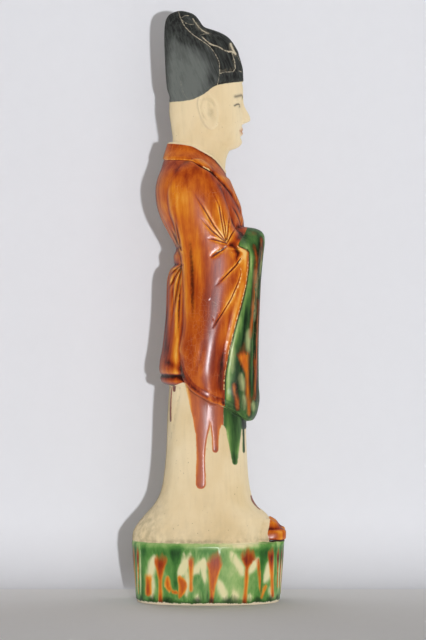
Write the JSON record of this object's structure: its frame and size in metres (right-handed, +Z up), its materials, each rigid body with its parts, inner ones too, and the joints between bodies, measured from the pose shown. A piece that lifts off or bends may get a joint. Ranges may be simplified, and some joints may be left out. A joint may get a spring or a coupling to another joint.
{
  "type": "tomb attendant figure",
  "caption": "Standing glazed earthenware attendant in a long robe and tall black cap, hands hidden in joined wide sleeves, on an oval plinth with runny green and amber glaze.",
  "frame": {"origin": "middle of the underside of the plinth", "axes": "+Z up, the face and shoes look along -Y, the figure's right hand side is -X"},
  "size_m": [0.15, 0.1534, 0.5886],
  "materials": {
    "glazed_earthenware": "fired earthenware with amber and green lead glaze, bare cream slip on skirt and face, black pigment on the cap"
  },
  "bodies": {
    "root": {"attendant_figure": "glazed_earthenware"}
  },
  "joints": []
}
